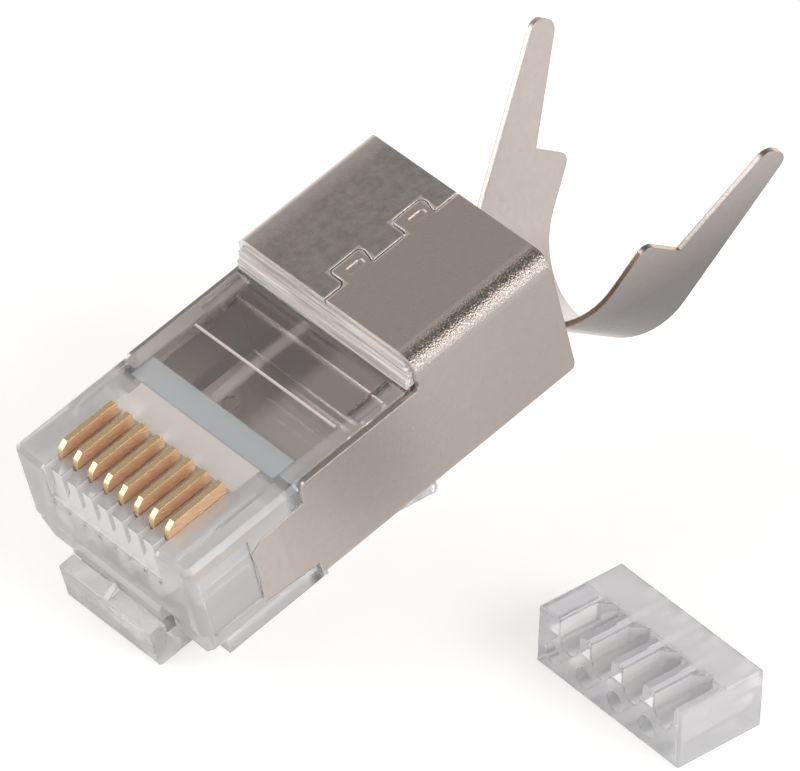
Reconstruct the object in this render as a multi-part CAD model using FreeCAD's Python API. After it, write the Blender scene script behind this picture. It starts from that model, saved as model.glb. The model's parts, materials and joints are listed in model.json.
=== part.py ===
"""Shielded 8-position modular plug with an outside cable clamp, and its load bar.

Every piece is built in the plug's own frame, in millimetres: X across the plug, Y from the
nose back to the cable, and Z up from the top of the nose, on the contacts' side.  At the end
the plug is tipped onto its latch, the way it lies on a table, with the load bar flat beside it.
"""
import FreeCAD, Part
import os
from math import sin, cos, tan, radians

Vector = FreeCAD.Vector
Matrix = FreeCAD.Matrix

# ---- plug envelope ----
plug_width = 11.68
plug_length = 21.46
nose_height = 6.05
hood_rise = 1.45
rest_pitch = 16.0

# ---- shield sheet ----
sheet = 0.28
shield_gap = 0.03
left_fold_radius = 0.50
right_fold_radius = 0.80
bottom_fold_radius = 0.40
shield_proud = 0.05
hood_start = 13.60
side_top = -0.15
side_front_setback = 0.15
side_step_run = 0.06
wrap_start = 6.45
side_front_radius = 0.35
step_radius = 0.20
rear_corner_radius = 0.70
flap_length = 3.10
flap_top = 1.20
flap_bevel_run = 0.60
flap_bevel_drop = 0.42
flap_bevel_slant = 0.10
flap_corner_radius = 0.08
flap_toe_radius = 0.05
flap_waist = 0.10
flap_waist_drop = 3.00
flap_rail_gap = 1.23
flap_rail_rise = 0.30
seam_width = 0.09
seam_tab_reach = 1.07
seam_tab_front = 1.18
seam_tab_length = 1.62
seam_tab_pitch = 3.66
seam_tab_flare = 0.30
seam_tab_front_radius = 0.22
seam_tab_back_radius = 0.30
seam_root_front_radius = 0.30
seam_root_back_radius = 0.12
stake_length = 0.95
stake_width = 0.42
stake_radius = 0.18
stake_depth = 0.07
stake_aside = 0.15

# ---- cable clamp, bent down from the shield's rear edge ----
clamp_angle = 46.8
clamp_radius = 4.29
clamp_width = 5.0
clamp_lean = 11.5
clamp_back = 1.21
clamp_drop = 1.62
shoulder_reach = 8.65
tip_reach = 14.50
tip_root_width = 2.60
tip_end_width = 1.50
tip_radius = 0.66
shoulder_radius = 0.50
neck_width = 2.80
neck_relief = 0.35
neck_relief_depth = 1.10
neck_bend_radius = 0.30
neck_lap = 0.60

# ---- housing ----
housing_setback = 0.26
riser_lead = 0.55
riser_step = 0.55
riser_tread = 0.22
riser_draft = 0.06
riser_tread_rise = 0.05
top_chamfer = 0.25
nose_corner_radius = 0.45
chin_length = 0.95
chin_rise = 0.17
chin_chamfer = 0.90
rail_width = 1.25
rail_height = 1.50
cheek_depth = 0.12
cheek_front = 0.50
cheek_top = 0.75
cheek_radius = 0.15
front_step_rise = 1.81
front_step_depth = 0.30
front_boss_depth = 0.20
front_boss_inset = 0.10

# ---- contacts and their slots ----
contact_count = 8
contact_pitch = 1.016
blade = 0.30
blade_gap = 0.03
blade_front = 0.95
blade_length = 3.30
blade_top = 0.68
blade_bottom = 1.30
blade_chin = 0.25
blade_brow_run = 0.45
blade_brow_drop = 0.26
blade_brow_radius = 0.20
blade_step_run = 0.10
blade_back_radius = 0.10
blade_step_radius = 0.08
blade_chin_radius = 0.12
prong_length = 0.65
prong_gap = 0.70
comb_setback = 0.25
ledge_drop = 1.95
dimple_radius = 0.12
dimple_depth = 0.30

# ---- wire space, from the contacts back to the open rear ----
wire_radius = 0.52
wire_drop = 2.35
wire_row_pitch = 1.15
funnel_front = 5.90
funnel_length = 1.45
funnel_drop = 1.05
bore_overrun = 0.50
chamber_wall = 0.80
chamber_gap = 0.10
cavity_wall = 0.62
cavity_ceiling = 0.85
cavity_radius = 0.20
cavity_floor_wall = 0.60
hood_ceiling_wall = 0.65
hood_ceiling_lead = 0.20

# ---- small marks in the housing's top ----
strain_line_back = 9.70
strain_line_length = 9.30
strain_line_width = 0.14
strain_line_depth = 0.10
pocket_front = 10.50
pocket_length = 2.35
pocket_width = 0.85
pocket_depth = 0.15
pocket_offset = 4.85
gate_back = 7.70
gate_radius = 0.42
gate_depth = 0.15

# ---- latch ----
latch_width = 6.10
latch_front = 1.05
latch_root_rise = 0.95
latch_root_drop = 1.21
latch_root_back = 0.90
latch_toe_radius = 0.25
latch_swing_gap = 0.12
knuckle_radius = 0.45
knuckle_gap = 0.05
latch_thickness = 1.15
latch_tail_thickness = 1.00
latch_kink = 11.0
latch_end = 15.85
latch_shoulder = 8.30
latch_tail_width = 3.25
latch_corner_radius = 0.60
latch_shoulder_radius = 0.10
latch_brow_radius = 0.08
latch_tip_radius = 0.15
latch_tip_top_radius = 0.40
latch_throat_radius = 0.10
gusset_width = 0.35
gusset_height = 0.40
gusset_inset = 0.10

# ---- load bar ----
bar_depth = 4.77
bar_height = 3.10
bar_edge = 0.10
bar_row_height = 1.05
groove_width = 1.30
groove_length = 2.10
groove_point = 0.65
bar_gap = 7.28
bar_behind_nose = 16.02
bar_turn = -1.33

# ---- sizes that follow from the ones above ----
half = plug_width / 2
shield_depth = nose_height + shield_proud
core_half = half - sheet - shield_gap
core_floor = sheet + shield_gap - shield_depth
hood_top = hood_rise - sheet - shield_gap
housing_back = plug_length - housing_setback
flap_front = wrap_start - flap_length
rail_top = rail_height - nose_height
latch_root_top = latch_root_rise - nose_height
latch_root_floor = -nose_height - latch_root_drop
front_step_top = front_step_rise - nose_height
knuckle_y = latch_root_back - knuckle_radius
knuckle_z = latch_root_top - knuckle_radius
slot_half = blade / 2 + blade_gap
comb_half = (contact_count - 1) / 2 * contact_pitch + slot_half
chamber_half = core_half - chamber_wall
bar_half = chamber_half - chamber_gap
chamber_floor = -wire_drop - wire_row_pitch - bar_row_height - chamber_gap
chamber_ceiling = chamber_floor + bar_height + 2 * chamber_gap
chamber_front = funnel_front + funnel_length
chamber_back = chamber_front + bar_depth + chamber_gap
beyond = 1.0
same_place = 1e-6

SIDE_VIEW = Matrix(0, 0, 1, 0, 1, 0, 0, 0, 0, 1, 0, 0, 0, 0, 0, 1)
END_VIEW = Matrix(1, 0, 0, 0, 0, 0, -1, 0, 0, 1, 0, 0, 0, 0, 0, 1)


# ---------------------------------------------------------------- outlines and solids

def flat_face(corners):
    """Face in the XY plane; each corner is (u, v) or (u, v, radius of its rounding)."""
    turns = []
    for index, corner in enumerate(corners):
        here = Vector(corner[0], corner[1], 0)
        radius = corner[2] if len(corner) > 2 else 0
        before = Vector(*corners[index - 1][:2], 0) - here
        after = Vector(*corners[(index + 1) % len(corners)][:2], 0) - here
        half_angle = before.getAngle(after) / 2
        before.normalize()
        after.normalize()
        run = radius / tan(half_angle)
        middle = here
        if radius:
            inward = (before + after).normalize()
            middle = here + inward * (radius / sin(half_angle) - radius)
        turns.append((here + before * run, middle, here + after * run, radius))
    edges = []
    for index, (start, middle, end, radius) in enumerate(turns):
        if radius:
            edges.append(Part.Arc(start, middle, end).toShape())
        following = turns[(index + 1) % len(turns)][0]
        if end.distanceToPoint(following) > same_place:
            edges.append(Part.LineSegment(end, following).toShape())
    return Part.Face(Part.Wire(edges))


def prism(corners, low, high, view=None):
    """Outline extruded from low to high along its normal, then turned into the view."""
    solid = flat_face(corners).extrude(Vector(0, 0, high - low))
    solid.translate(Vector(0, 0, low))
    if view is not None:
        solid = solid.transformed(view)
    return solid


def side_prism(corners, left, right):
    """Outline of (y, z) corners extruded across the plug, from x = left to x = right."""
    return prism(corners, left, right, SIDE_VIEW)


def end_prism(corners, front, back):
    """Outline of (x, z) corners extruded along the plug, from y = front to y = back."""
    return prism(corners, -back, -front, END_VIEW)


def block(left, right, front, back, bottom, top):
    return Part.makeBox(right - left, back - front, top - bottom, Vector(left, front, bottom))


def rectangle(low_u, high_u, low_v, high_v, radius=0):
    return [(low_u, low_v, radius), (high_u, low_v, radius),
            (high_u, high_v, radius), (low_u, high_v, radius)]


def rod(radius, start, end):
    axis = end - start
    return Part.makeCylinder(radius, axis.Length, start, axis)


def mirrored(solid):
    return solid.mirror(Vector(0, 0, 0), Vector(1, 0, 0))


def on_both_sides(solids):
    return solids + [mirrored(solid) for solid in solids]


# ---------------------------------------------------------------- shield

def flap_corners(margin=0.0):
    """Top, front and bottom edge of the side panel's front flap, moved outward by the margin."""
    front = flap_front - margin
    top = margin - flap_top
    low = flap_rail_gap - nose_height - margin
    return [
        (wrap_start + shield_gap, top),
        (front + flap_bevel_run, top - flap_bevel_slant),
        (front, top - flap_bevel_drop - flap_bevel_slant, flap_corner_radius),
        (front + flap_waist, -flap_waist_drop),
        (front, low, flap_toe_radius),
        (wrap_start + shield_gap, low - flap_rail_rise),
    ]


def shield_silhouette():
    """Side view of the folded shield, without the cable clamp."""
    return [
        (wrap_start + side_front_setback, side_top, side_front_radius),
        *flap_corners(),
        (wrap_start + shield_gap, -shield_depth),
        (plug_length, -shield_depth, rear_corner_radius),
        (plug_length, hood_rise),
        (hood_start, hood_rise),
        (hood_start - side_step_run, side_top, step_radius),
    ]


def seam_edge(offset):
    """Line of the seam from front to back around its tabs, moved by the offset."""
    points = [(offset, hood_start - beyond)]
    for number in range(2):
        front = hood_start + seam_tab_front + number * seam_tab_pitch + offset
        back = front + seam_tab_length - 2 * offset
        reach = offset - seam_tab_reach
        points += [(offset, front, seam_root_front_radius + offset),
                   (reach, front, seam_tab_front_radius - offset),
                   (reach, back + seam_tab_flare, seam_tab_back_radius - offset),
                   (offset, back, seam_root_back_radius + offset)]
    points.append((offset, plug_length + beyond))
    return points


def seam():
    """Gap where the sheet's two edges meet on the hood, around the interlocking tabs."""
    outline = seam_edge(seam_width / 2) + seam_edge(-seam_width / 2)[::-1]
    return prism(outline, hood_rise - 1.5 * sheet, hood_rise + beyond)


def stakes():
    """Rounded stake marks pressed into the seam's tabs."""
    left = stake_aside - (seam_tab_reach + stake_width) / 2
    first_y = hood_start + seam_tab_front + (seam_tab_length + seam_tab_flare - stake_length) / 2
    marks = []
    for number in range(2):
        front = first_y + number * seam_tab_pitch
        outline = rectangle(left, left + stake_width, front, front + stake_length, stake_radius)
        marks.append(prism(outline, hood_rise - stake_depth, hood_rise + beyond))
    return marks


def fold_outline(inset):
    """End view of the folded sheet's outer face, moved inward by the inset."""
    low = inset - shield_depth
    high = hood_rise - inset
    wide = half - inset
    return [(-wide, low, bottom_fold_radius - inset), (wide, low, bottom_fold_radius - inset),
            (wide, high, right_fold_radius - inset), (-wide, high, left_fold_radius - inset)]


def shield_tube():
    """The sheet folded around the housing, trimmed to its side view."""
    inner = fold_outline(sheet)
    tube = end_prism(fold_outline(0), 0, plug_length).cut(end_prism(inner, -beyond, plug_length + beyond))
    return tube.common(side_prism(shield_silhouette(), -half - beyond, half + beyond))


def clamp_directions():
    """Along the clamped cable, and up between the arms."""
    slope = radians(clamp_angle)
    return Vector(0, cos(slope), -sin(slope)), Vector(0, sin(slope), cos(slope))


def clamp_foot():
    """Middle of the sheet at the bottom of the cradle's front edge."""
    return Vector(0, plug_length + clamp_back, -nose_height - clamp_drop)


def in_clamp(solid):
    """From the clamp's own frame (X across, Y up between the arms, Z along the cable)."""
    along, up = clamp_directions()
    foot = clamp_foot()
    turn = Matrix(-1, 0, 0, 0, 0, up.y, along.y, foot.y, 0, up.z, along.z, foot.z, 0, 0, 0, 1)
    return solid.transformed(turn)


def cradle():
    """Round bottom of the clamp, up to where the straight arms start, in the clamp's frame."""
    middle_radius = clamp_radius + sheet / 2
    lean = radians(clamp_lean)
    rims = []
    for radius in (clamp_radius + sheet, clamp_radius):
        reach = Vector(radius * cos(lean), middle_radius - radius * sin(lean), 0)
        rims.append((Vector(-reach.x, reach.y, 0), Vector(0, middle_radius - radius, 0), reach))
    outer, inner = rims
    edges = [Part.Arc(*outer), Part.LineSegment(outer[2], inner[2]), Part.Arc(*inner[::-1]),
             Part.LineSegment(inner[0], outer[0])]
    return Part.Face(Part.Wire([edge.toShape() for edge in edges])).extrude(Vector(0, 0, clamp_width))


def arm(tip_at_back):
    """Straight arm with a shoulder and a narrow tip, in the clamp's frame, on its +X side."""
    middle_radius = clamp_radius + sheet / 2
    lean = radians(clamp_lean)
    curved = middle_radius * (radians(90) - lean)
    shoulder = shoulder_reach - curved
    tip = tip_reach - curved
    corners = [
        (0, 0), (clamp_width, 0),
        (clamp_width, tip, tip_radius), (clamp_width - tip_end_width, tip, tip_radius),
        (clamp_width - tip_root_width, shoulder), (0, shoulder, shoulder_radius),
    ]
    if not tip_at_back:
        corners = [(clamp_width - corner[0], *corner[1:]) for corner in corners[::-1]]
    foot_x = middle_radius * cos(lean)
    foot_y = middle_radius * (1 - sin(lean))
    stand = Matrix(0, sin(lean), -cos(lean), foot_x, 0, cos(lean), sin(lean), foot_y, 1, 0, 0, 0, 0, 0, 0, 1)
    return prism(corners, -sheet / 2, sheet / 2, stand)


def neck():
    """Strip that leads from the shield's bottom sheet down to the clamp's cradle."""
    along, up = clamp_directions()
    foot = clamp_foot()
    start = plug_length - neck_relief_depth
    surfaces = []
    for level, offset in ((sheet - shield_depth, sheet / 2), (-shield_depth, -sheet / 2)):
        line = foot + up * offset
        bend = line + along * ((level - line.z) / along.z)
        end = line + along * neck_lap
        surfaces.append(((start, level), (bend.y, level), (end.y, end.z)))
    upper, lower = surfaces
    corners = [upper[0], (*upper[1], neck_bend_radius + sheet), upper[2],
               lower[2], (*lower[1], neck_bend_radius), lower[0]]
    return side_prism(corners, -neck_width / 2, neck_width / 2)


def shield():
    relief_half = neck_width / 2 + neck_relief
    relief = block(-relief_half, relief_half, plug_length - neck_relief_depth, plug_length + beyond,
                   -shield_depth - beyond, sheet / 2 - shield_depth + sheet)
    tube = shield_tube().cut([seam(), relief] + stakes())
    clamp = cradle().fuse([arm(False), mirrored(arm(True))])
    return tube.fuse([neck(), in_clamp(clamp)]).removeSplitter()


# ---------------------------------------------------------------- contacts

def contact_x(number):
    return (number - (contact_count - 1) / 2) * contact_pitch


def is_long(number):
    """Every second contact reaches down to the lower row of wires."""
    return number % 2 == 0


def wire_z(number):
    return -wire_drop - (wire_row_pitch if is_long(number) else 0)


def contact(number):
    """Flat blade: rounded brow and chin in front, three prongs below that pierce the wire."""
    back = blade_front + blade_length
    reach = blade_bottom + prong_length + (wire_row_pitch if is_long(number) else 0)
    prong_pitch = (blade_length - prong_gap) / 2
    corners = [
        (back, blade_top, blade_back_radius),
        (blade_front + blade_brow_run, blade_top, blade_brow_radius),
        (blade_front + blade_step_run, blade_top - blade_brow_drop, blade_step_radius),
        (blade_front, blade_top - 2 * blade_brow_drop, blade_chin_radius),
    ]
    for prong in range(3):
        near = blade_front + prong * prong_pitch
        far = near + prong_gap
        corners += [(near, -blade_bottom), ((near + far) / 2, -reach), (far, -blade_bottom)]
    middle = contact_x(number)
    return side_prism(corners, middle - blade / 2, middle + blade / 2)


# ---------------------------------------------------------------- housing

def housing_shell():
    """Outer form of the moulding: full-width nose, and a core that the shield closes around."""
    nose = block(-half, half, 0, wrap_start, -nose_height, 0)
    upright = [edge for edge in nose.Edges if abs(edge.BoundBox.ZLength - nose_height) < same_place
               and edge.BoundBox.YMin < same_place]
    nose = nose.makeFillet(nose_corner_radius, upright)
    top_edges = [edge for edge in nose.Edges if edge.BoundBox.ZMin > -same_place
                 and edge.BoundBox.YMin < wrap_start - same_place]
    nose = nose.makeChamfer(top_chamfer, top_edges)
    core = end_prism(fold_outline(sheet + shield_gap), wrap_start, housing_back)
    front = hood_start - riser_lead
    above = [
        (0, 0), (front, 0),
        (front + riser_draft, riser_step), (front + riser_tread, riser_step + riser_tread_rise),
        (front + riser_tread + riser_draft, hood_top + beyond), (0, hood_top + beyond),
    ]
    return nose.fuse(core.cut(side_prism(above, -half, half))).removeSplitter()


def nose_cuts():
    """Flap seats, belly channel, chin, cheeks and stepped lower corners of the nose."""
    flap = side_prism(flap_corners(shield_gap), core_half, half + beyond)
    cheek_sides = rectangle(cheek_front, flap_front, rail_top, -cheek_top, cheek_radius)
    cheek = side_prism(cheek_sides, half - cheek_depth, half + beyond)
    boss_half = latch_width / 2 - front_boss_inset
    corner = block(boss_half, half + beyond, -beyond, front_step_depth, -nose_height - beyond, front_step_top)
    chin_corner = end_prism(
        [(half - chin_chamfer, -nose_height), (half, chin_chamfer - nose_height),
         (half + beyond, chin_chamfer - nose_height), (half + beyond, -nose_height - beyond),
         (half - chin_chamfer, -nose_height - beyond)], -beyond, chin_length)
    belly_half = half - rail_width
    low = -nose_height - beyond
    belly = block(-belly_half, belly_half, chin_length, wrap_start + beyond, low, core_floor)
    chin = block(-half, half, -beyond, chin_length, low, chin_rise - nose_height)
    return on_both_sides([flap, cheek, corner, chin_corner]) + [belly, chin]


def front_boss():
    """Low boss on the nose's face, above the latch's root."""
    reach = latch_width / 2 - front_boss_inset
    bottom = latch_root_top + knuckle_gap
    corners = [(beyond, bottom), (-front_boss_depth, bottom),
               (-front_boss_depth, front_step_top - front_boss_depth),
               (0, front_step_top), (beyond, front_step_top)]
    return side_prism(corners, -reach, reach)


def contact_slots():
    """Slots over the wires, each with a sloping way in from the nose's face."""
    cuts = [block(-comb_half, comb_half, -beyond, comb_setback, -ledge_drop, beyond)]
    front = blade_front - blade_gap
    back = blade_front + blade_length + blade_gap
    for number in range(contact_count):
        middle = contact_x(number)
        profile = [(-beyond, beyond), (-beyond, -ledge_drop), (0, -ledge_drop), (front, -blade_chin),
                   (front, wire_z(number)), (back, wire_z(number)), (back, beyond)]
        cuts.append(side_prism(profile, middle - slot_half, middle + slot_half))
        cuts.append(rod(dimple_radius, Vector(middle, -beyond, -ledge_drop - 2 * dimple_radius),
                        Vector(middle, dimple_depth, -ledge_drop - 2 * dimple_radius)))
    return cuts


def wire_space():
    """Wire bores, the funnel in front of the load bar's chamber, and the open rear cavity."""
    cuts = []
    for number in range(contact_count):
        level = wire_z(number)
        start = Vector(contact_x(number), blade_front - blade_gap, level)
        cuts.append(rod(wire_radius, start, Vector(start.x, funnel_front + bore_overrun, level)))
    funnel = [(funnel_front, chamber_floor), (funnel_front, chamber_ceiling - funnel_drop),
              (chamber_front, chamber_ceiling), (chamber_back + beyond, chamber_ceiling),
              (chamber_back + beyond, chamber_floor)]
    cuts.append(side_prism(funnel, -chamber_half, chamber_half))
    cavity_half = core_half - cavity_wall
    floor = core_floor + cavity_floor_wall
    roof_step = hood_start - hood_ceiling_lead
    ceiling = hood_top - hood_ceiling_wall
    cavity = [(chamber_back, floor), (housing_back + beyond, floor), (housing_back + beyond, ceiling),
              (roof_step, ceiling, cavity_radius), (roof_step, -cavity_ceiling, cavity_radius),
              (chamber_back, -cavity_ceiling)]
    cuts.append(side_prism(cavity, -cavity_half, cavity_half))
    return cuts


def top_marks():
    """Strain-relief line, two shallow pockets and the moulding gate's dimple."""
    near = strain_line_width / 2
    line = side_prism([(strain_line_back - near, 0), (strain_line_back, -strain_line_depth),
                       (strain_line_back + near, 0), (strain_line_back, near)],
                      -strain_line_length / 2, strain_line_length / 2)
    low = pocket_offset - pocket_width / 2
    pocket = block(low, low + pocket_width, pocket_front, pocket_front + pocket_length, -pocket_depth, beyond)
    gate = rod(gate_radius, Vector(0, gate_back, -gate_depth), Vector(0, gate_back, beyond))
    return on_both_sides([pocket]) + [line, gate]


def latch_socket():
    """Room for the latch's root and its round knuckle, with running clearance."""
    reach = latch_width / 2 + knuckle_gap
    radius = knuckle_radius + knuckle_gap
    low = -nose_height - beyond
    return [
        block(-reach, reach, -beyond, knuckle_y, low, knuckle_z + radius),
        block(-reach, reach, -beyond, knuckle_y + radius + latch_swing_gap, low, knuckle_z),
        rod(radius, Vector(-reach, knuckle_y, knuckle_z), Vector(reach, knuckle_y, knuckle_z)),
    ]


def housing():
    body = housing_shell().cut(nose_cuts()).fuse(front_boss())
    return body.cut(latch_socket() + contact_slots() + wire_space() + top_marks()).removeSplitter()


# ---------------------------------------------------------------- latch

def rest_level(y):
    """Height of the resting surface below the plug, at the distance y from the nose."""
    pitch = radians(rest_pitch)
    toe_y = latch_toe_radius - latch_front
    toe_z = latch_root_floor + latch_toe_radius
    depth = toe_y * sin(pitch) + toe_z * cos(pitch) - latch_toe_radius
    return (depth - y * sin(pitch)) / cos(pitch)


def latch():
    """Lever that springs away from the body, hinged at its root under the nose."""
    slope = tan(radians(rest_pitch))
    tail_top = rest_level(latch_end) + latch_tail_thickness / cos(radians(rest_pitch))
    kink_top = tail_top + (latch_end - latch_kink) * slope
    profile = [
        (-latch_front, latch_root_top, latch_brow_radius),
        (-latch_front, latch_root_floor, latch_toe_radius),
        (latch_root_back, latch_root_floor),
        (latch_kink, rest_level(latch_kink)),
        (latch_end, rest_level(latch_end), latch_tip_radius),
        (latch_end, tail_top, latch_tip_top_radius),
        (latch_kink, kink_top),
        (latch_root_back, latch_root_floor + latch_thickness, latch_throat_radius),
        (latch_root_back, knuckle_z),
        (knuckle_y, knuckle_z),
        (knuckle_y, latch_root_top),
    ]
    wide = latch_width / 2
    narrow = latch_tail_width / 2
    plan = [
        (-wide, -latch_front), (wide, -latch_front), (wide, latch_shoulder, latch_shoulder_radius),
        (narrow, latch_shoulder, latch_corner_radius), (narrow, latch_end, latch_corner_radius),
        (-narrow, latch_end, latch_corner_radius), (-narrow, latch_shoulder, latch_corner_radius),
        (-wide, latch_shoulder, latch_shoulder_radius),
    ]
    low = rest_level(latch_end) - beyond
    lever = side_prism(profile, -wide, wide).common(prism(plan, low, 0))
    knuckle = rod(knuckle_radius, Vector(-wide, knuckle_y, knuckle_z), Vector(wide, knuckle_y, knuckle_z))
    back = -front_boss_depth - knuckle_gap
    gusset = side_prism([(gusset_inset - latch_front, latch_root_top), (back, latch_root_top),
                         (back, latch_root_top + gusset_height)],
                        -gusset_width / 2, gusset_width / 2)
    return lever.fuse([knuckle, gusset]).removeSplitter()


# ---------------------------------------------------------------- load bar

def load_bar():
    """Clear comb that holds the wires in two staggered rows, in its own frame, standing on Z = 0."""
    bar = block(-bar_half, bar_half, 0, bar_depth, 0, bar_height)
    bar = bar.makeChamfer(bar_edge, bar.Edges)
    cuts = []
    for number in range(contact_count):
        middle = contact_x(number)
        level = bar_row_height + (0 if is_long(number) else wire_row_pitch)
        front = Vector(middle, -beyond, level)
        cuts.append(rod(wire_radius, front, Vector(middle, bar_depth + beyond, level)))
        if not is_long(number):
            cuts.append(groove(middle, level))
    return bar.cut(cuts).removeSplitter()


def groove(middle, level):
    """Open groove over an upper wire, with a pointed end."""
    near = groove_width / 2
    plan = [(middle - near, -beyond), (middle + near, -beyond), (middle + near, groove_length),
            (middle, groove_length + groove_point), (middle - near, groove_length)]
    return prism(plan, level, bar_height + beyond)


# ---------------------------------------------------------------- resting pose

def plug_placement():
    """Turns the plug about X onto its latch, with the origin under the middle of the latch's foot."""
    foot = Vector(0, (latch_kink + latch_end) / 2, rest_level((latch_kink + latch_end) / 2))
    turn = FreeCAD.Rotation(Vector(1, 0, 0), rest_pitch)
    return FreeCAD.Placement(-turn.multVec(foot), turn)


def bar_placement():
    """Lays the load bar flat beside the plug, measured from the top of the plug's nose."""
    nose = plug_placement().Base
    turn = FreeCAD.Rotation(Vector(0, 0, 1), bar_turn)
    centre = Vector(half + bar_gap + bar_half, nose.y + bar_behind_nose, 0)
    return FreeCAD.Placement(centre - turn.multVec(Vector(0, bar_depth / 2, 0)), turn)


def save(name, solid, placement):
    placed = solid.transformed(placement.toMatrix())
    placed.exportStep("parts/" + name + ".step")


def main():
    os.makedirs("parts", exist_ok=True)
    plug = plug_placement()
    save("housing", housing(), plug)
    save("shield", shield(), plug)
    save("latch", latch(), plug)
    for number in range(contact_count):
        save("contact_" + str(number + 1), contact(number), plug)
    save("load_bar", load_bar(), bar_placement())


main()
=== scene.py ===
"""Looks for a shielded, clear modular plug with an outside cable clamp, and its load bar.

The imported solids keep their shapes; this script gives them their materials, the light and the camera.
"""
import bpy
import json
from math import atan2, cos, radians, sin
from mathutils import Matrix, Vector


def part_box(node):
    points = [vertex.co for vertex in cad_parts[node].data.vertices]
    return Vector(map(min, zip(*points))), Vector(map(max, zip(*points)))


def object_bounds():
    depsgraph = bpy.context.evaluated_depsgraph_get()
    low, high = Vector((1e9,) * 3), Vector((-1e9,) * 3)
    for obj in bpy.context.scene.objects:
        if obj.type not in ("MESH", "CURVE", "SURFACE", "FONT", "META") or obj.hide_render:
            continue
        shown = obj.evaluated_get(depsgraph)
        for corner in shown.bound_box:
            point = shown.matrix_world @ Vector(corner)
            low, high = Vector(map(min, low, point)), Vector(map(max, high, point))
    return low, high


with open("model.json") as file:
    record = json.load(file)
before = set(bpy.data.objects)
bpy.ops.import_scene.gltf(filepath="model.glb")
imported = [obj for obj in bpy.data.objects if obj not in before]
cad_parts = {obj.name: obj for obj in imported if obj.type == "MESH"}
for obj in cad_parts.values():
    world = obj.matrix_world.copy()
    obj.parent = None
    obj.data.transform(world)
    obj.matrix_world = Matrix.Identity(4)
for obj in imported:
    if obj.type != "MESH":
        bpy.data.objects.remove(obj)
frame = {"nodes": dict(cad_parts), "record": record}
cad_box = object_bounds()
nodes = frame["nodes"]
centre = (cad_box[0] + cad_box[1]) / 2

MM = 0.001
NOSE_FACE_DROP = 3.2 * MM
CONTACT_PITCH = 1.016
BAR_TURN = radians(-1.33)


# ---------------------------------------------------------------- node helpers

class Shader:
    """Node tree of a material or world, with short calls for the nodes used here."""

    def __init__(self, owner):
        owner.use_nodes = True
        self.tree = owner.node_tree
        self.tree.nodes.clear()

    def add(self, kind, inputs=(), **settings):
        node = self.tree.nodes.new("ShaderNode" + kind)
        for name, value in settings.items():
            setattr(node, name, value)
        for socket, value in dict(inputs).items():
            self.put(node.inputs[socket], value)
        return node

    def put(self, socket, value):
        if isinstance(value, bpy.types.NodeSocket):
            self.tree.links.new(value, socket)
        else:
            socket.default_value = value

    def coords(self, scale=(1, 1, 1)):
        place = self.add("TexCoord").outputs["Object"]
        return self.add("Mapping", {"Vector": place, "Scale": scale}).outputs["Vector"]

    def local(self, place, turn):
        """X, Y and Z in millimetres from the place, in axes that are turned by the Euler angles."""
        spot = self.add("TexCoord").outputs["Object"]
        spot = self.add("Mapping", {"Vector": spot, "Location": place, "Rotation": turn,
                                    "Scale": (MM, MM, MM)}, vector_type="TEXTURE")
        axes = self.add("SeparateXYZ", {0: spot.outputs["Vector"]}).outputs
        aside = self.math("ABSOLUTE", axes["X"])
        return {"x": axes["X"], "y": axes["Y"], "z": axes["Z"], "aside": aside}

    def zone(self, axes, spans):
        """1 where every axis named in the spans lies in its span."""
        return self.both(*(self.within(axes[name], *span) for name, span in spans.items()))

    def within(self, value, low, high, soft=0.01):
        """1 between low and high, and 0 outside."""
        return self.math("MULTIPLY", self.span(value, low - soft, low + soft),
                         self.span(value, high - soft, high + soft, 1.0, 0.0))

    def both(self, first, *others):
        for other in others:
            first = self.math("MULTIPLY", first, other)
        return first

    def most(self, first, *others):
        for other in others:
            first = self.math("MAXIMUM", first, other)
        return first

    def weighed(self, zone, shares):
        """The strongest of the zones, each times its share."""
        return self.most(*(self.scaled(zone[name], share) for name, share in shares.items()))

    def scaled(self, value, share):
        return self.math("MULTIPLY", value, share)

    def rest(self, value):
        return self.math("SUBTRACT", 1.0, value)

    def rounded(self, radius):
        """Normal that rounds sharp edges."""
        return self.add("Bevel", {"Radius": radius}, samples=BEVEL_SAMPLES).outputs["Normal"]

    def noise(self, size, detail=3.0, roughness=0.5, vector=None):
        """Noise whose blobs are about the size given, in metres."""
        vector = vector or self.coords()
        node = self.add("TexNoise", {"Vector": vector, "Scale": 1 / size, "Detail": detail,
                                     "Roughness": roughness})
        return node.outputs["Fac"]

    def span(self, value, low, high, to_low=0.0, to_high=1.0):
        node = self.add("MapRange", {"Value": value, "From Min": low, "From Max": high,
                                     "To Min": to_low, "To Max": to_high})
        return node.outputs["Result"]

    def math(self, operation, first, second=0.0):
        return self.add("Math", {0: first, 1: second}, operation=operation).outputs[0]

    def mix(self, fac, first, second):
        node = self.add("Mix", {0: fac, 6: first, 7: second}, data_type="RGBA")
        return node.outputs[2]

    def bump(self, height, distance, strength=1.0, normal=None):
        inputs = {"Height": height, "Distance": distance, "Strength": strength}
        if normal is not None:
            inputs["Normal"] = normal
        return self.add("Bump", inputs).outputs["Normal"]

    def principled(self, **inputs):
        names = {key.replace("_", " "): value for key, value in inputs.items()}
        return self.add("BsdfPrincipled", names).outputs["BSDF"]

    def finish(self, surface, kind="OutputMaterial"):
        out = self.add(kind)
        self.tree.links.new(surface, out.inputs["Surface"])


def rgb(red, green, blue):
    return (red, green, blue, 1.0)


# ---------------------------------------------------------------- materials
# Zones are in millimetres.  The plug's zones are in its own axes: x across, y back from the nose,
# z up from the nose's top, and aside is the distance from its middle plane.  The load bar's are
# from the middle of its underside.  Each span is (low, high) or (low, high, softness of its ends).

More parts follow.
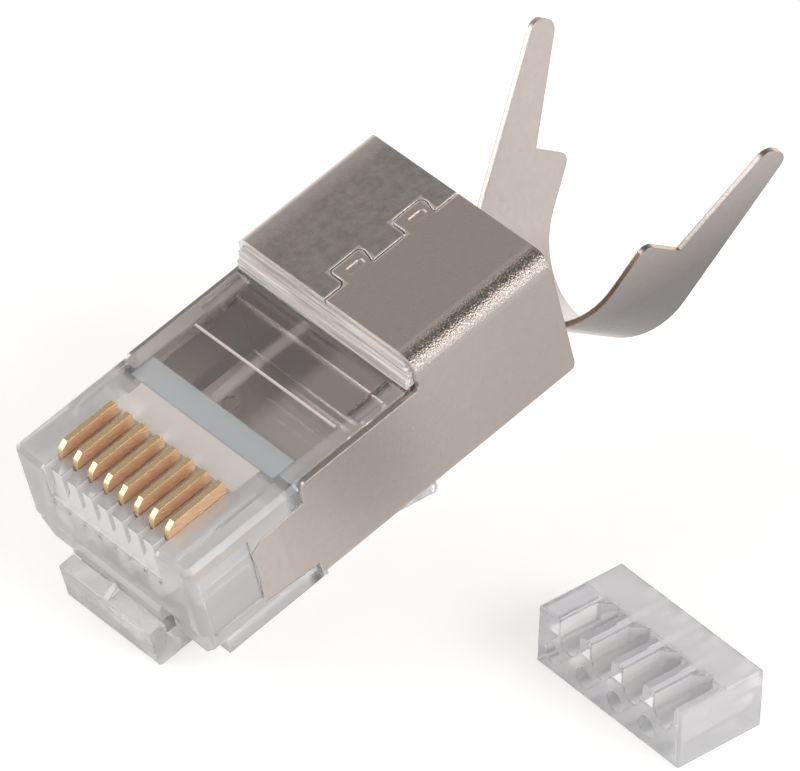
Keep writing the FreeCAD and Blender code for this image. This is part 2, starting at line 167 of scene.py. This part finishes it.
NO_LESS = -1
HOUSING_ZONES = {
    "nose": {"y": (-1, 5.9, 0.25)},
    "comb": {"aside": (NO_LESS, 3.90), "y": (0.04, 6.30), "z": (-4.20, -0.04)},
    "teeth": {"y": (0.03, 0.93)},
    "behind_contacts": {"aside": (NO_LESS, 3.95, 0.05), "y": (4.36, 6.0, 0.06), "z": (-0.03, 0.03)},
    "over_funnel": {"aside": (NO_LESS, 4.70, 0.05), "y": (6.0, 7.32, 0.06), "z": (-0.03, 0.03)},
    "funnel": {"aside": (NO_LESS, 4.80), "y": (5.80, 7.38), "z": (-4.9, -0.30)},
    "score": {"y": (9.60, 9.80), "z": (-0.12, -0.004, 0.002)},
    "flow_line": {"x": (-1.10, -0.45, 0.18), "y": (7.30, 12.9, 0.2), "z": (-0.03, 0.03)},
    # Painted highlight: a broad, soft, milkier stripe along the window's right part.
    "window_painted_highlight": {"x": (1.4, 5.2, 0.6), "y": (7.30, 12.9, 0.2), "z": (-0.03, 0.03)},
    "window_rim": {"y": (6.3, 12.95, 0.05), "z": (-0.30, 0.10)},
    "window": {"aside": (NO_LESS, 5.6), "y": (7.38, 12.9), "z": (-0.30, 0.03)},
    "riser": {"y": (12.9, 13.66), "z": (0.02, 1.3)},
    "slot_rows": {"aside": (NO_LESS, 3.80), "y": (0.93, 4.27), "z": (-3.60, -0.01)},
    "latch_socket": {"aside": (NO_LESS, 3.12), "y": (-0.24, 1.15), "z": (-6.10, -5.00)},
}
LATCH_ROOT = {"y": (-0.19, 1.0), "z": (-5.75, -4.0)}
SHIELD_ZONES = {
    "hood": {"z": (1.20, 1.8)},
    "hood_fold": {"x": (4.85, 6.4, 0.20), "y": (13.0, 23.0), "z": (0.70, 1.8, 0.10)},
    # The next two zones hold painted light: a painted highlight along the hood's left fold and a painted
    # shade along its right fold.
    "hood_left_fold_highlight": {"x": (-7.0, -5.0, 0.65)},
    "hood_right_fold_shade": {"x": (4.95, 5.50, 0.14)},
    "side_panels": {"y": (5.0, 21.5), "z": (-9.0, 0.7, 0.3)},
    "clamp_right": {"x": (0.5, 30.0, 0.8), "y": (21.5, 40.0)},
    "clamp_low_edge": {"x": (-1.0, 30.0, 0.5), "y": (21.5, 40.0), "z": (-9.0, 0.5, 1.5)},
}
BAR_ZONES = {
    "inner": {"aside": (NO_LESS, 4.40), "y": (-2.34, 2.34), "z": (0.04, 3.06)},
    "matt_top": {"aside": (NO_LESS, 4.62, 0.05), "y": (0.15, 2.38, 0.30), "z": (3.06, 3.3)},
    "end": {"x": (4.40, 5.5)},
}
SLOT_WALL = (0.160, 0.200, 0.004)
SLOT_PHASE = 3.5
RIM_INSIDE, RIM_OUTSIDE = 4.40, 4.90
SEAM_TABS = {"reach": (-1.07, 0.3), "length": 1.78, "starts": (14.78, 18.44)}
SEAM_SOFTNESS = 0.01
# Width of the painted highlight on each side of the seam.
SEAM_HIGHLIGHT_WIDTH = 0.13
# Where the side panels get painted shade, deepening from front to back.
PANEL_INSIDE, PANEL_OUTSIDE = 5.5, 5.6
PANEL_FRONT, PANEL_BACK = 7.0, 19.0
# Heights over which the painted shade on the clamp deepens toward its bottom.
CLAMP_LOW, CLAMP_HIGH = -7.0, -0.5

# How milky and how matt each zone of the moulding is, from 0 to 1.
BASE_MILK = 0.06
# Of these, the window stripe's milk is a painted highlight.
MILK = {"nose": 0.42, "teeth": 0.85, "behind_contacts": 0.70, "over_funnel": 0.42, "rim": 0.36,
        "flow_line": 0.26, "window_painted_highlight": 0.20, "score": 0.90}
FROST = {"comb": 0.85, "funnel": 1.0, "score": 1.0, "riser": 0.60, "behind_contacts": 0.70}
BAR_MILK = {"matt_top": 0.66, "end": 0.42, "inner": 0.50}
BAR_FROST = {"matt_top": 0.90, "end": 0.50, "inner": 0.80}
SLOT_WALL_CLEARNESS = 0.85
FROST_ROUGHNESS, FROST_CLOUD = 0.42, 0.50

CLEAR_INDEX = 1.585
PLASTIC_ROUNDING = 0.07 * MM
BAR_ROUNDING = 0.13 * MM
SHEET_ROUNDING = 0.10 * MM
BLADE_ROUNDING = 0.04 * MM
BEVEL_SAMPLES = 4

COOL_WHITE, WARM_WHITE = rgb(0.955, 0.955, 0.965), rgb(0.985, 0.980, 0.985)
LATCH_WHITE = rgb(0.985, 0.980, 0.990)
BAR_LILAC, BAR_WHITE, BAR_INNER = rgb(0.950, 0.945, 0.980), rgb(0.985, 0.98, 1.0), rgb(1.0, 0.995, 1.0)
PINK_WHITE, RISER_WHITE = rgb(0.98, 0.915, 0.880), rgb(0.99, 0.945, 0.935)
BLUE_WHITE, WINDOW_WHITE = rgb(0.90, 0.945, 0.985), rgb(0.985, 0.900, 0.885)
NICKEL_DARK, NICKEL_PALE = rgb(0.50, 0.445, 0.415), rgb(0.575, 0.515, 0.485)
# Painted light: the hood's top is painted paler and warmer than the rest of the sheet.
HOOD_PAINTED_LIGHT_NICKEL = rgb(0.72, 0.60, 0.545)
# Painted shade: the hood's left half, left of the seam, painted darker, with a random mottle between
# these two.
HOOD_SHADE_DARK, HOOD_SHADE_PALE = rgb(0.25, 0.235, 0.225), rgb(0.70, 0.65, 0.615)
# Painted highlight: a pale band beside the hood's seam.
SEAM_HIGHLIGHT_NICKEL = rgb(0.98, 0.90, 0.86)
# Painted highlight along the hood's left fold, and painted shade along its right fold.
LEFT_FOLD_HIGHLIGHT_NICKEL, RIGHT_FOLD_SHADE_NICKEL = rgb(0.92, 0.81, 0.77), rgb(0.12, 0.11, 0.10)
# Painted shade: dark nickel on the side panels, deepening toward their back, and on the clamp, deepening
# toward its bottom.
PANEL_SHADE_NICKEL, CLAMP_SHADE_NICKEL = rgb(0.30, 0.26, 0.235), rgb(0.17, 0.165, 0.165)
CUT_NICKEL, BARE_COPPER = rgb(0.84, 0.79, 0.76), rgb(0.82, 0.58, 0.43)
GOLD_TOP = (rgb(0.86, 0.62, 0.33), rgb(0.95, 0.72, 0.42))
# Painted reflection: the blades' side faces painted redder, for the neighbouring blades' gold they face.
GOLD_SIDE_PAINTED_REFLECTION = (rgb(0.90, 0.56, 0.34), rgb(0.98, 0.68, 0.46))


def plug_axes():
    """Where the nose's top front edge is, and how far the plug is tipped, from the nose face's mount."""
    mount = next(entry for entry in frame["record"]["mounts"] if entry["name"] == "nose_face")
    along = -Vector(mount["axis"])
    up = Vector((1, 0, 0)).cross(along)
    return Vector(mount["pos_m"]) + up * NOSE_FACE_DROP, (atan2(along.z, along.y), 0, 0)


def bar_axes():
    low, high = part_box("load_bar")
    return Vector(((low.x + high.x) / 2, (low.y + high.y) / 2, low.z)), (0, 0, BAR_TURN)


def clear_plastic(shader, milk, frost, tint, alpha=1.0, rounding=PLASTIC_ROUNDING):
    """Clear plastic, more or less milky and frosted; alpha hides its skin at a joint between pieces."""
    flow = shader.noise(2.4 * MM, 2.0)
    scuff = shader.noise(0.35 * MM, 4.0, 0.65)
    skin = shader.span(scuff, 0.55, 0.80, 0.02, 0.09)
    rough = shader.most(skin, shader.scaled(frost, FROST_ROUGHNESS))
    edge = shader.rounded(rounding)
    normal = shader.bump(flow, 0.03 * MM, 0.30, edge)
    cloud = shader.most(milk, shader.scaled(frost, FROST_CLOUD))
    shader.finish(shader.principled(Base_Color=tint, Roughness=rough, Normal=normal, Alpha=alpha,
                                    Transmission_Weight=shader.rest(cloud), IOR=CLEAR_INDEX))


def housing_plastic():
    """The moulding: milky nose, frosted slots and funnel, scored line, a milkier stripe over the window
    that is a painted highlight, no skin at the latch's root.
    """
    material = bpy.data.materials.new("clear_housing")
    shader = Shader(material)
    axes = shader.local(*plug_axes())
    zone = {name: shader.zone(axes, spans) for name, spans in HOUSING_ZONES.items()}
    zone["rim"] = shader.both(shader.span(axes["aside"], RIM_INSIDE, RIM_OUTSIDE), zone["window_rim"])
    zone["teeth"] = shader.both(zone["comb"], zone["teeth"])
    lines = shader.noise(0.13 * MM, 1.0, 0.5, shader.coords(scale=(0.03, 1.0, 1.0)))
    ribs = shader.both(zone["riser"], shader.span(lines, 0.35, 0.62, 0.45, 0.95))
    frost = shader.weighed(zone, FROST)
    milk = shader.most(shader.weighed(zone, MILK), BASE_MILK, ribs)
    beside = shader.math("ADD", shader.math("DIVIDE", axes["x"], CONTACT_PITCH), SLOT_PHASE)
    beside = shader.scaled(shader.math("PINGPONG", beside, 0.5), CONTACT_PITCH)
    walls = shader.both(shader.within(beside, *SLOT_WALL), zone["slot_rows"])
    tint = shader.mix(shader.noise(2.4 * MM, 2.0), COOL_WHITE, WARM_WHITE)
    tint = shader.mix(zone["behind_contacts"], tint, PINK_WHITE)
    tint = shader.mix(zone["riser"], tint, RISER_WHITE)
    tint = shader.mix(zone["window"], tint, WINDOW_WHITE)
    tint = shader.mix(shader.most(zone["funnel"], zone["over_funnel"]), tint, BLUE_WHITE)
    joined = shader.most(shader.scaled(walls, SLOT_WALL_CLEARNESS), zone["latch_socket"])
    clear_plastic(shader, milk, frost, tint, shader.rest(joined))
    return material


def latch_plastic():
    """The lever: a little milky, and one with the housing over its root."""
    material = bpy.data.materials.new("clear_latch")
    shader = Shader(material)
    root = shader.zone(shader.local(*plug_axes()), LATCH_ROOT)
    haze = shader.noise(1.7 * MM, 1.0)
    tint = shader.mix(haze, COOL_WHITE, LATCH_WHITE)
    milk, frost = shader.span(haze, 0.3, 0.7, 0.18, 0.46), shader.scaled(haze, 0.08)
    clear_plastic(shader, milk, frost, tint, shader.rest(root))
    return material


def bar_plastic():
    """The load bar: frosted bores and grooves, and a matt top behind the grooves."""
    material = bpy.data.materials.new("clear_bar")
    shader = Shader(material)
    axes = shader.local(*bar_axes())
    zone = {name: shader.zone(axes, spans) for name, spans in BAR_ZONES.items()}
    haze = shader.noise(2.2 * MM, 1.0)
    milk = shader.most(shader.weighed(zone, BAR_MILK), shader.span(haze, 0.3, 0.7, 0.14, 0.24))
    tint = shader.mix(zone["inner"], shader.mix(haze, BAR_LILAC, BAR_WHITE), BAR_INNER)
    clear_plastic(shader, milk, shader.weighed(zone, BAR_FROST), tint, rounding=BAR_ROUNDING)
    return material


def right_half(shader, axes, grow=0.0):
    """The hood right of the seam with its two tabs, grown to the left by the amount given."""
    left, right = SEAM_TABS["reach"]
    tabs = [shader.both(shader.within(axes["x"], left - grow, right),
                        shader.within(axes["y"], start - grow, start + SEAM_TABS["length"] + grow))
            for start in SEAM_TABS["starts"]]
    return shader.most(shader.span(axes["x"], -SEAM_SOFTNESS - grow, SEAM_SOFTNESS - grow), *tabs)


def nickel():
    """Satin nickel plate: grainy right fold and bare low cut edge, with painted light and shade: a
    paler, warmer hood top, painted shade over the hood's left half, its right fold, the side panels and
    the clamp, and painted highlights along the seam and the left fold.
    """
    material = bpy.data.materials.new("nickel_plate")
    shader = Shader(material)
    place, turn = plug_axes()
    axes = shader.local(place, turn)
    zone = {name: shader.zone(axes, spans) for name, spans in SHIELD_ZONES.items()}
    facing = shader.add("VectorMath", {0: shader.add("NewGeometry").outputs["True Normal"],
                                       1: (0.0, cos(turn[0]), sin(turn[0]))}, operation="DOT_PRODUCT")
    cut = shader.span(shader.math("ABSOLUTE", facing.outputs["Value"]), 0.55, 0.75)
    grain = shader.noise(0.11 * MM, 2.0, 0.6)
    sparkle = shader.noise(0.085 * MM, 1.0, 0.5)
    cloud = shader.noise(0.42 * MM, 3.0, 0.6)
    hood = zone["hood"]
    # Painted shade over the hood's left half, left of the seam and its tabs.
    hood_left_painted_shade = shader.both(hood, shader.rest(right_half(shader, axes)))
    # Painted highlight: a pale band along both sides of the seam.
    seam_painted_highlight = shader.math("SUBTRACT", right_half(shader, axes, SEAM_HIGHLIGHT_WIDTH),
                       right_half(shader, axes, -SEAM_HIGHLIGHT_WIDTH))
    # Painted highlight: a pale band along the hood's left fold.
    left_fold_painted_highlight = shader.both(hood, zone["hood_left_fold_highlight"])
    # Painted shade: a dark, speckled band along the hood's right fold.
    right_fold_painted_shade = shader.both(hood, zone["hood_right_fold_shade"], shader.span(sparkle, 0.30, 0.62, 1.0, 0.35))
    # Painted shade on the outer side panels, deepening toward their back.
    side_panel_painted_shade = shader.both(shader.span(axes["aside"], PANEL_INSIDE, PANEL_OUTSIDE), zone["side_panels"],
                        shader.span(axes["y"], PANEL_FRONT, PANEL_BACK, 0.1, 0.50))
    # Painted shade on the right side of the clamp, deepening toward its bottom.
    clamp_painted_shade = shader.both(zone["clamp_right"], shader.span(axes["z"], CLAMP_LOW, CLAMP_HIGH, 0.85, 0.0))
    bare = shader.both(cut, zone["clamp_low_edge"])
    colour = shader.mix(cloud, NICKEL_DARK, NICKEL_PALE)
    # Painted light on the hood top: the hood's share lays a paler, warmer colour over the whole top.
    for area, share, finish in (
            (hood, 0.55, HOOD_PAINTED_LIGHT_NICKEL), (hood_left_painted_shade, 0.85, shader.mix(cloud, HOOD_SHADE_DARK, HOOD_SHADE_PALE)),
            (shader.both(hood, seam_painted_highlight), 0.70, SEAM_HIGHLIGHT_NICKEL), (left_fold_painted_highlight, 0.80, LEFT_FOLD_HIGHLIGHT_NICKEL),
            (side_panel_painted_shade, 1.0, PANEL_SHADE_NICKEL), (right_fold_painted_shade, 0.85, RIGHT_FOLD_SHADE_NICKEL), (clamp_painted_shade, 1.0, CLAMP_SHADE_NICKEL),
            (cut, 1.0, CUT_NICKEL), (bare, 1.0, BARE_COPPER)):
        colour = shader.mix(shader.scaled(area, share), colour, finish)
    rough = shader.span(grain, 0.3, 0.7, 0.27, 0.38)
    relief = shader.math("ADD", grain, shader.both(shader.scaled(sparkle, 7.0), zone["hood_fold"]))
    normal = shader.bump(relief, 0.014 * MM, 0.6, shader.rounded(SHEET_ROUNDING))
    shader.finish(shader.principled(Base_Color=colour, Roughness=rough, Normal=normal, Metallic=1.0))
    return material


def gold():
    """Gold plated contacts: polished brows, with fine stamping lines and hazy sides, painted redder as a
    painted reflection of the neighbouring blades.
    """
    material = bpy.data.materials.new("gold_plate")
    shader = Shader(material)
    lines = shader.noise(0.07 * MM, 2.0, 0.5, shader.coords(scale=(1.0, 0.06, 1.0)))
    tone = shader.noise(0.5 * MM, 2.0)
    facing = shader.add("SeparateXYZ", {0: shader.add("NewGeometry").outputs["True Normal"]})
    side = shader.span(shader.math("ABSOLUTE", facing.outputs["X"]), 0.5, 0.9)
    # The side faces take the redder colour of the painted reflection.
    colour = shader.mix(side, shader.mix(tone, *GOLD_TOP), shader.mix(tone, *GOLD_SIDE_PAINTED_REFLECTION))
    rough = shader.span(lines, 0.3, 0.7, 0.16, 0.30)
    normal = shader.bump(lines, 0.005 * MM, 0.3, shader.rounded(BLADE_ROUNDING))
    shader.finish(shader.principled(Base_Color=colour, Roughness=rough, Normal=normal,
                                    Metallic=shader.span(side, 0.0, 1.0, 0.90, 0.45)))
    return material


def dress():
    """Puts each piece's material in place of its plain one."""
    looks = {"housing": housing_plastic(), "latch": latch_plastic(), "load_bar": bar_plastic(),
             "shield": nickel()}
    gilt = gold()
    for name, node in nodes.items():
        node.data.materials.clear()
        node.data.materials.append(looks.get(name, gilt))


# ---------------------------------------------------------------- stage, light and camera

FLOOR_GREY, FLOOR_GLOW = rgb(0.82, 0.82, 0.82), 0.50
FLOOR_REACH, FLOOR_DROP = 4.0, 0.00002
SKY_COLOUR = rgb(1.0, 0.985, 0.965)
SKY_HORIZON, SKY_HIGH, SKY_ZENITH_LOSS = 1.0, 0.42, 0.26
LAMP_COLOUR = (1.0, 0.985, 0.96)
LAMP_DISTANCE = 0.55
LAMPS = {"soft_right": {"toward": (0.82, 0.22, 0.53), "width": 0.36, "power": 1.20},
         "soft_left_front": {"toward": (-0.58, -0.63, 0.51), "width": 0.30, "power": 0.70}}
VIEW_AZIMUTH, VIEW_ELEVATION, VIEW_ROLL = radians(47.63), radians(37.95), radians(1.88)
VIEW_DISTANCE = 0.36351
VIEW_AIM = Vector((-4.389, -3.238, 1.366)) * MM
VIEW_LENS, VIEW_SENSOR = 379.8, 36.0
VIEW_NEAR, VIEW_FAR = 0.01, 20.0
CLEAR_BOUNCES, GLOSSY_BOUNCES = 24, 10


def floor_white():
    """Pale floor that shows white to the camera, to metal and to glass, and still takes the shadow."""
    material = bpy.data.materials.new("floor_white")
    shader = Shader(material)
    path = shader.add("LightPath").outputs
    seen = shader.math("ADD", path["Is Camera Ray"], path["Is Glossy Ray"])
    seen = shader.math("ADD", seen, path["Is Transmission Ray"])
    seen = shader.math("MINIMUM", seen, 1.0)
    base = shader.add("BsdfDiffuse", {"Color": FLOOR_GREY}).outputs["BSDF"]
    glow = shader.add("Emission", {"Color": rgb(1, 1, 1), "Strength": shader.scaled(seen, FLOOR_GLOW)})
    both = shader.add("AddShader", {0: base, 1: glow.outputs["Emission"]})
    shader.finish(both.outputs["Shader"])
    return material


def stage():
    """Level floor just under the object."""
    corners = [(-FLOOR_REACH, -FLOOR_REACH, 0), (FLOOR_REACH, -FLOOR_REACH, 0),
               (FLOOR_REACH, FLOOR_REACH, 0), (-FLOOR_REACH, FLOOR_REACH, 0)]
    mesh = bpy.data.meshes.new("floor")
    mesh.from_pydata(corners, [], [(0, 1, 2, 3)])
    mesh.materials.append(floor_white())
    floor = bpy.data.objects.new("floor", mesh)
    bpy.context.scene.collection.objects.link(floor)
    floor.location.z = cad_box[0].z - FLOOR_DROP


def sky():
    """Pale near the horizon and dim overhead, so that level metal stays grey."""
    world = bpy.data.worlds.new("tent")
    bpy.context.scene.world = world
    shader = Shader(world)
    height = shader.add("SeparateXYZ", {0: shader.add("TexCoord").outputs["Generated"]}).outputs["Z"]
    low = shader.span(height, 0.05, 0.75, SKY_HORIZON, SKY_HIGH)
    level = shader.math("SUBTRACT", low, shader.span(height, 0.80, 0.95, 0.0, SKY_ZENITH_LOSS))
    back = shader.add("Background", {"Color": SKY_COLOUR, "Strength": level})
    shader.finish(back.outputs["Background"], "OutputWorld")


def softbox(name, toward, width, power):
    """Square lamp that looks back at the object from the direction given."""
    lamp = bpy.data.lights.new(name, "AREA")
    lamp.shape = "SQUARE"
    lamp.size = width
    lamp.energy = power
    lamp.color = LAMP_COLOUR
    light = bpy.data.objects.new(name, lamp)
    light.location = centre + Vector(toward).normalized() * LAMP_DISTANCE
    light.rotation_mode = "QUATERNION"
    light.rotation_quaternion = Vector(toward).to_track_quat("Z", "Y")
    bpy.context.scene.collection.objects.link(light)


def camera():
    """Long lens at the photograph's viewing angle."""
    aim = centre + VIEW_AIM
    back = Vector((sin(VIEW_AZIMUTH) * cos(VIEW_ELEVATION), -cos(VIEW_AZIMUTH) * cos(VIEW_ELEVATION),
                   sin(VIEW_ELEVATION)))
    level = Vector((cos(VIEW_AZIMUTH), sin(VIEW_AZIMUTH), 0))
    upright = back.cross(level)
    right = level * cos(VIEW_ROLL) + upright * sin(VIEW_ROLL)
    up = back.cross(right)
    lens = bpy.data.cameras.new("camera")
    lens.lens = VIEW_LENS
    lens.sensor_width = VIEW_SENSOR
    lens.clip_start, lens.clip_end = VIEW_NEAR, VIEW_FAR
    view = bpy.data.objects.new("camera", lens)
    place = aim + back * VIEW_DISTANCE
    view.matrix_world = Matrix.Translation(place) @ Matrix((right, up, back)).transposed().to_4x4()
    bpy.context.scene.collection.objects.link(view)
    bpy.context.scene.camera = view


dress()
stage()
sky()
for name, lamp in LAMPS.items():
    softbox(name, **lamp)
camera()

scene = bpy.context.scene
scene.view_settings.view_transform = "Standard"
scene.cycles.max_bounces = scene.cycles.transmission_bounces = CLEAR_BOUNCES
scene.cycles.glossy_bounces = GLOSSY_BOUNCES
